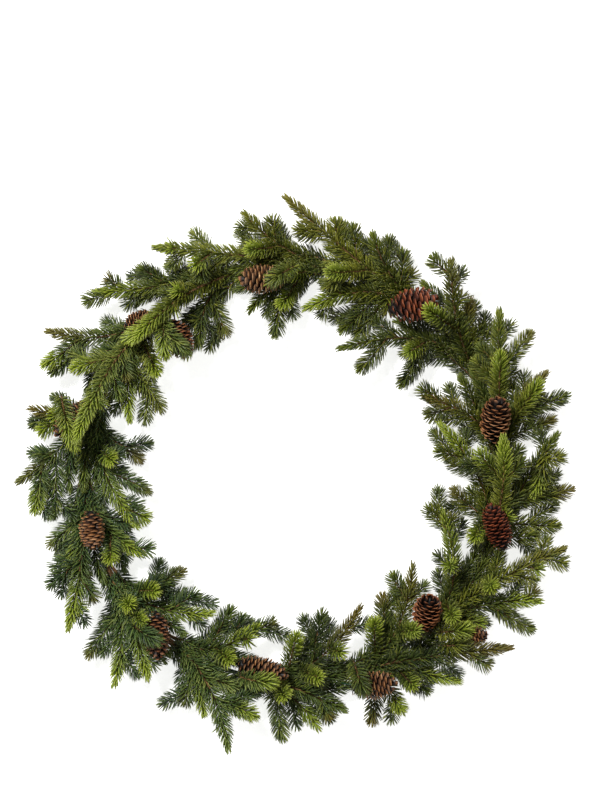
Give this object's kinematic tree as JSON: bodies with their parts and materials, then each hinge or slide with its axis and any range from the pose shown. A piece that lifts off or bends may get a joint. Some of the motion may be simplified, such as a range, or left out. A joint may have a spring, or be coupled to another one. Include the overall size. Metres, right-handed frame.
{
  "type": "fresh evergreen wreath",
  "caption": "Round wreath of fresh spruce sprays and pine cones, clamped and wired onto a green wire ring; it lies on its back or hangs from the ring.",
  "frame": {"origin": "centre of the wire ring, on the surface that the wreath lies on", "axes": "+Z out of the wreath's front face, +Y from the centre towards twelve o'clock"},
  "size_m": [0.6108, 0.6035, 0.0853],
  "materials": {
    "ring_wire": "dark green painted wire",
    "foliage": "fresh spruce needles on woody stems",
    "cone": "dry brown cone scales"
  },
  "bodies": {
    "root": {"cone_01": "cone", "cone_02": "cone", "cone_03": "cone", "cone_04": "cone", "cone_05": "cone", "cone_06": "cone", "cone_07": "cone", "cone_08": "cone", "cone_09": "cone", "cone_10": "cone", "cone_11": "cone", "cone_12": "cone", "cone_13": "cone", "ring": "ring_wire", "spray_00_in": "foliage", "spray_00_out": "foliage", "spray_00_top": "foliage", "spray_01_in": "foliage", "spray_01_out": "foliage", "spray_01_top": "foliage", "spray_02_in": "foliage", "spray_02_out": "foliage", "spray_02_top": "foliage", "spray_03_in": "foliage", "spray_03_out": "foliage", "spray_03_top": "foliage", "spray_04_in": "foliage", "spray_04_out": "foliage", "spray_04_top": "foliage", "spray_05_in": "foliage", "spray_05_out": "foliage", "spray_05_top": "foliage", "spray_06_in": "foliage", "spray_06_out": "foliage", "spray_06_top": "foliage", "spray_07_in": "foliage", "spray_07_out": "foliage", "spray_07_top": "foliage", "spray_08_in": "foliage", "spray_08_out": "foliage", "spray_08_top": "foliage", "spray_09_in": "foliage", "spray_09_out": "foliage", "spray_09_top": "foliage", "spray_10_in": "foliage", "spray_10_out": "foliage", "spray_10_top": "foliage", "spray_11_in": "foliage", "spray_11_out": "foliage", "spray_11_top": "foliage", "spray_12_in": "foliage", "spray_12_out": "foliage", "spray_12_top": "foliage", "spray_13_in": "foliage", "spray_13_out": "foliage", "spray_13_top": "foliage"}
  },
  "joints": []
}
